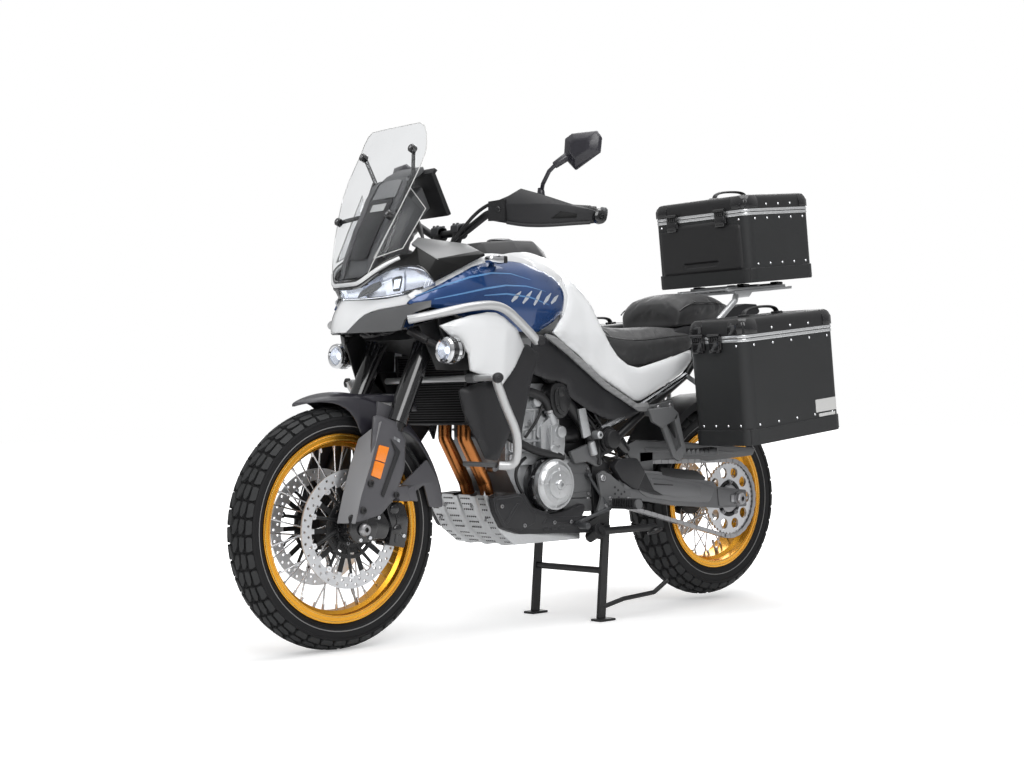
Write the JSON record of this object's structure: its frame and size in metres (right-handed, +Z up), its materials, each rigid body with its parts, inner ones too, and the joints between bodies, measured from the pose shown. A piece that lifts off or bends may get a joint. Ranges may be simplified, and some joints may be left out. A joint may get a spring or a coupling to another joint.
{
  "type": "adventure motorcycle with hard luggage",
  "caption": "Tall adventure touring motorcycle with spoked wheels, high screen, beak, crash bars and hard cases, parked on its centre stand.",
  "frame": {"origin": "on the floor under the middle of the bounding box", "axes": "+X forward, +Y to the rider's left, +Z up"},
  "size_m": [2.2361, 0.956, 1.454],
  "materials": {
    "tyre_rubber": "matt grey-black rubber",
    "gold_rim": "gold anodised",
    "wheel_steel": "bright machined steel",
    "black_steel": "satin black powder coat",
    "dark_alloy": "dark grey satin paint on aluminium",
    "engine_alloy": "silver cast aluminium",
    "bronze_steel": "heat-tinted bronze steel",
    "brushed_steel": "brushed steel",
    "brushed_aluminium": "brushed sheet aluminium",
    "radiator_black": "matt black finned core",
    "white_plastic": "pearl white gloss",
    "blue_plastic": "deep metallic blue gloss",
    "dark_plastic": "dark grey grained plastic",
    "graphite_plastic": "graphite satin plastic",
    "clear_screen": "clear polycarbonate",
    "headlight_glass": "clear lens over bright reflectors",
    "seat_vinyl": "black seat vinyl",
    "silver_steel": "silver painted steel tube",
    "lamp_chrome": "chromed lamp bodies",
    "fork_black": "gloss black anodised",
    "slider_chrome": "polished chrome",
    "case_black": "black powder-coated aluminium"
  },
  "bodies": {
    "chassis": {"frame": "black_steel", "engine_block": "engine_alloy", "engine_covers": "engine_alloy", "lower_engine_covers": "dark_plastic", "exhaust_pipes": "bronze_steel", "silencer": "brushed_steel", "skid_plate": "brushed_aluminium", "radiator": "radiator_black", "radiator_cowls": "white_plastic", "radiator_side_panels": "dark_plastic", "fuel_tank": "white_plastic", "tank_console": "dark_plastic", "tank_wings": "blue_plastic", "side_covers": "white_plastic", "lower_side_covers": "dark_plastic", "beak": "white_plastic", "beak_intake": "dark_plastic", "headlight": "headlight_glass", "headlight_surround": "dark_plastic", "windscreen": "clear_screen", "instrument_tower": "dark_plastic", "rider_seat": "seat_vinyl", "passenger_seat": "seat_vinyl", "top_case": "case_black", "panniers": "case_black", "rear_rack": "brushed_aluminium", "crash_bars": "silver_steel", "lamps": "lamp_chrome", "tail_section": "dark_plastic", "footpegs": "black_steel", "swingarm": "dark_alloy", "rear_axle": "brushed_steel", "chain_guard": "dark_plastic", "drive_chain": "brushed_steel", "rear_shock": "black_steel", "rear_calliper": "dark_alloy"},
    "steering": {"fork_clamps": "black_steel", "fork_tubes": "fork_black", "fork_sliders": "slider_chrome", "front_axle": "brushed_steel", "front_callipers": "dark_alloy", "front_mudguard": "graphite_plastic", "fork_guards": "graphite_plastic", "handlebar": "black_steel", "hand_controls": "dark_plastic", "hand_guards": "dark_plastic", "mirrors": "dark_plastic"},
    "front_wheel": {"front_tyre": "tyre_rubber", "front_rim": "gold_rim", "front_hub_spokes": "wheel_steel", "front_discs": "wheel_steel"},
    "rear_wheel": {"rear_tyre": "tyre_rubber", "rear_rim": "gold_rim", "rear_hub_spokes": "wheel_steel", "rear_sprocket_and_disc": "wheel_steel"},
    "centre_stand": {"centre_stand": "black_steel"},
    "side_stand": {"side_stand": "black_steel"},
    "top_case_lid": {"top_case_lid": "case_black"},
    "left_pannier_lid": {"left_pannier_lid": "case_black"},
    "right_pannier_lid": {"right_pannier_lid": "case_black"}
  },
  "joints": [
    {"name": "steering", "type": "hinge", "parent": "chassis", "child": "steering", "pos_m": [0.895, 0, 0], "axis": [-0.4384, 0, 0.8988], "range_deg": [-34, 34]},
    {"name": "front_wheel_spin", "type": "hinge", "parent": "steering", "child": "front_wheel", "pos_m": [0.789, 0, 0.329], "axis": [0, 1, 0], "continuous": true},
    {"name": "rear_wheel_spin", "type": "hinge", "parent": "chassis", "child": "rear_wheel", "pos_m": [-0.742, 0, 0.336], "axis": [0, 1, 0], "continuous": true},
    {"name": "centre_stand_pivot", "type": "hinge", "parent": "chassis", "child": "centre_stand", "pos_m": [-0.122, 0, 0.276], "axis": [0, 1, 0], "range_deg": [0, 84]},
    {"name": "side_stand_pivot", "type": "hinge", "parent": "chassis", "child": "side_stand", "pos_m": [-0.063, 0.174, 0.272], "axis": [0, -0.9005, -0.4348], "range_deg": [0, 104]},
    {"name": "top_case_lid_hinge", "type": "hinge", "parent": "chassis", "child": "top_case_lid", "pos_m": [-1.09854, 0, 1.30667], "axis": [0, -1, 0], "range_deg": [0, 95]},
    {"name": "left_pannier_lid_hinge", "type": "hinge", "parent": "chassis", "child": "left_pannier_lid", "pos_m": [-0.84997, 0.3625, 0.88579], "axis": [0, -1, 0], "range_deg": [0, 95]},
    {"name": "right_pannier_lid_hinge", "type": "hinge", "parent": "chassis", "child": "right_pannier_lid", "pos_m": [-0.84997, -0.3625, 0.88579], "axis": [0, -1, 0], "range_deg": [0, 95]}
  ]
}
